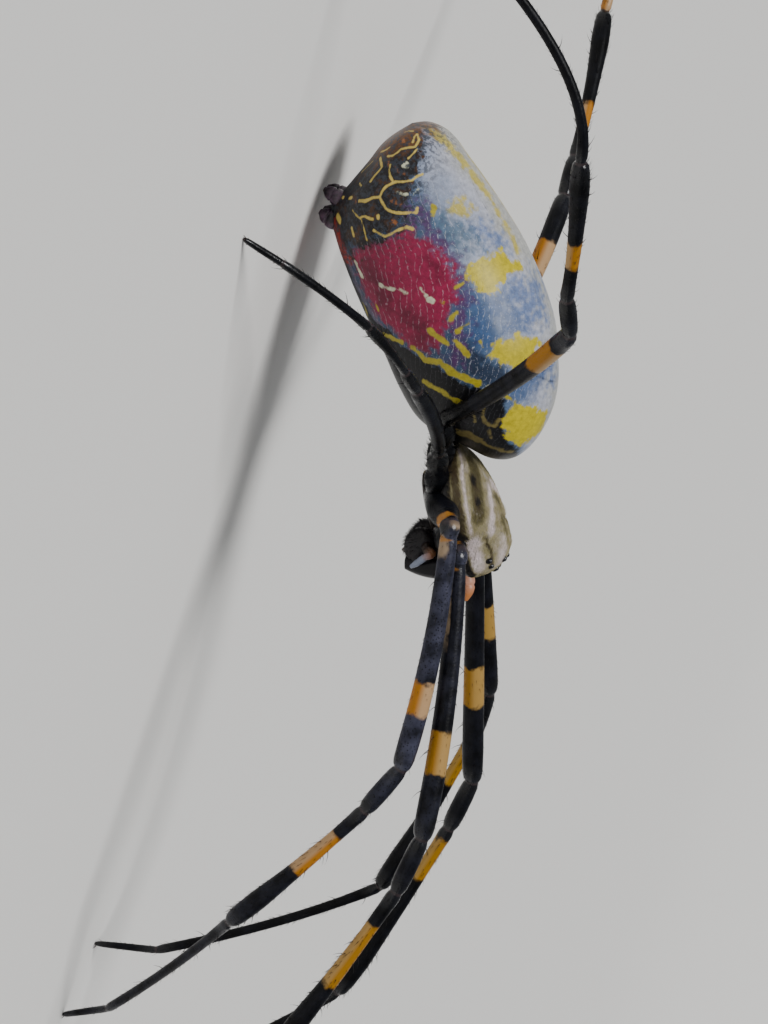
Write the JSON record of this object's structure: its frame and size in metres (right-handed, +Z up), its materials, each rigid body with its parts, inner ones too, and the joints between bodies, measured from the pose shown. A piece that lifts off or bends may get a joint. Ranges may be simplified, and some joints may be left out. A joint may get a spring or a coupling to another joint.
{
  "type": "golden silk orb weaver",
  "caption": "Life-size still model of a female golden silk orb weaver spider, standing on the tips of its long banded legs, with a large patterned abdomen.",
  "frame": {"origin": "middle of the floor area that the model covers, at floor level", "axes": "+Z up from the floor, -Y towards the head, +X towards the spider's left side"},
  "size_m": [0.0416, 0.0792, 0.0168],
  "materials": {
    "abdomen_cuticle": "thin satin skin, silver grey and blue grey above with yellow patches, dark below with yellow lines, crimson at the rear flank",
    "carapace_cuticle": "dark hard cuticle under short flat silvery hair",
    "sternum_cuticle": "satin dark brown cuticle with a yellow mark",
    "joint_cuticle": "soft dull brown joint skin",
    "chelicera_cuticle": "glossy black cuticle with a violet sheen",
    "fang": "glossy dark red brown",
    "palp_cuticle": "satin, orange and blue grey",
    "eye_lens": "wet black gloss",
    "spinneret_cuticle": "matt dark brown",
    "leg_cuticle": "satin black with a blue grey bloom and yellow to orange bands"
  },
  "bodies": {
    "root": {"abdomen": "abdomen_cuticle", "pedicel": "joint_cuticle", "carapace": "carapace_cuticle", "sternum": "sternum_cuticle", "chelicera_left": "chelicera_cuticle", "fang_left": "fang", "palp_left": "palp_cuticle", "eye_front_median_left": "eye_lens", "eye_rear_median_left": "eye_lens", "eye_front_lateral_left": "eye_lens", "eye_rear_lateral_left": "eye_lens", "spinneret_front_left": "spinneret_cuticle", "spinneret_rear_left": "spinneret_cuticle", "chelicera_right": "chelicera_cuticle", "fang_right": "fang", "palp_right": "palp_cuticle", "eye_front_median_right": "eye_lens", "eye_rear_median_right": "eye_lens", "eye_front_lateral_right": "eye_lens", "eye_rear_lateral_right": "eye_lens", "spinneret_front_right": "spinneret_cuticle", "spinneret_rear_right": "spinneret_cuticle", "leg_right_1_femur": "leg_cuticle", "leg_right_1_tibia": "leg_cuticle", "leg_right_1_foot": "leg_cuticle", "leg_right_2_femur": "leg_cuticle", "leg_right_2_tibia": "leg_cuticle", "leg_right_2_foot": "leg_cuticle", "leg_right_3_femur": "leg_cuticle", "leg_right_3_tibia": "leg_cuticle", "leg_right_3_foot": "leg_cuticle", "leg_right_4_femur": "leg_cuticle", "leg_right_4_tibia": "leg_cuticle", "leg_right_4_foot": "leg_cuticle", "leg_left_1_femur": "leg_cuticle", "leg_left_1_tibia": "leg_cuticle", "leg_left_1_foot": "leg_cuticle", "leg_left_2_femur": "leg_cuticle", "leg_left_2_tibia": "leg_cuticle", "leg_left_2_foot": "leg_cuticle", "leg_left_3_femur": "leg_cuticle", "leg_left_3_tibia": "leg_cuticle", "leg_left_3_foot": "leg_cuticle", "leg_left_4_femur": "leg_cuticle", "leg_left_4_tibia": "leg_cuticle", "leg_left_4_foot": "leg_cuticle"}
  },
  "joints": []
}
